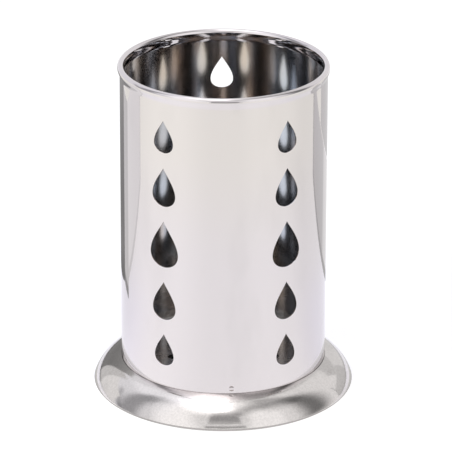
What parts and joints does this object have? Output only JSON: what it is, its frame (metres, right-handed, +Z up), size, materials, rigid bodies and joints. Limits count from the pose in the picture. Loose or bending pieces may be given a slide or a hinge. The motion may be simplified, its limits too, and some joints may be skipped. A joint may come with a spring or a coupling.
{
  "type": "cutlery drainer",
  "caption": "Tall round cutlery drainer in polished steel: a tube pierced with drop-shaped openings, a rolled rim, a flared base and a perforated floor.",
  "frame": {"origin": "on the drainer's axis, at the level that its base stands on", "axes": "+Z up along the axis of the tube, -Y towards the front, which is halfway between two columns of openings, +X to the right seen from the front"},
  "size_m": [0.14, 0.14, 0.1827],
  "materials": {
    "tube_steel": "mirror-polished stainless steel sheet",
    "base_steel": "polished stainless steel pressing with fine turning marks",
    "pan_steel": "bright rolled stainless steel sheet"
  },
  "bodies": {
    "root": {"drain_tube": "tube_steel", "flared_base": "base_steel", "floor_pan": "pan_steel"}
  },
  "joints": []
}
